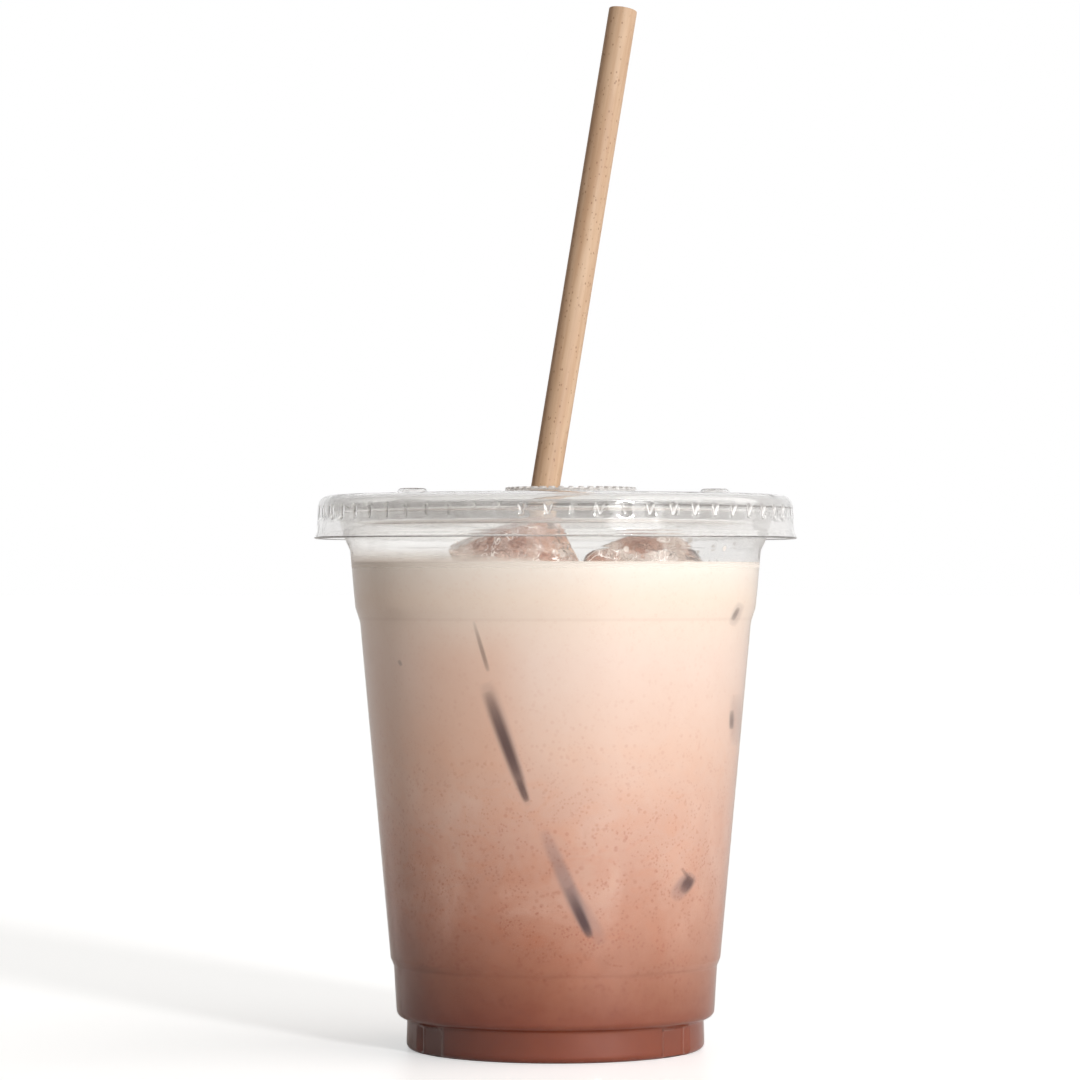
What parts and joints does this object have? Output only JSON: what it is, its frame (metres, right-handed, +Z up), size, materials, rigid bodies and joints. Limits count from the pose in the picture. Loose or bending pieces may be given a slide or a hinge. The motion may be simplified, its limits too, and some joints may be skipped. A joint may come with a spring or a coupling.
{
  "type": "iced chai milk tea in a clear plastic cup",
  "caption": "Iced milk tea filled to near the rim of a clear tapered plastic cup with a flat press-on lid, a leaning straw and floating ice.",
  "frame": {"origin": "centre of the foot, on the surface that the cup stands on", "axes": "+Z up the cup's axis, -Y towards the front, +X to the right seen from the front"},
  "size_m": [0.1014, 0.1014, 0.2199],
  "materials": {
    "clear_cup": "clear thermoformed sheet",
    "clear_lid": "clear thermoformed sheet",
    "tan_straw": "matte plant-fibre tube with fine brown flecks",
    "milk_tea": "smooth opaque liquid, cream above and tea brown below",
    "ice": "wet melting ice"
  },
  "bodies": {
    "root": {"cup": "clear_cup", "lid": "clear_lid", "lid_panel": "clear_lid", "straw": "tan_straw", "drink": "milk_tea", "ice_left": "ice", "ice_right": "ice"}
  },
  "joints": []
}
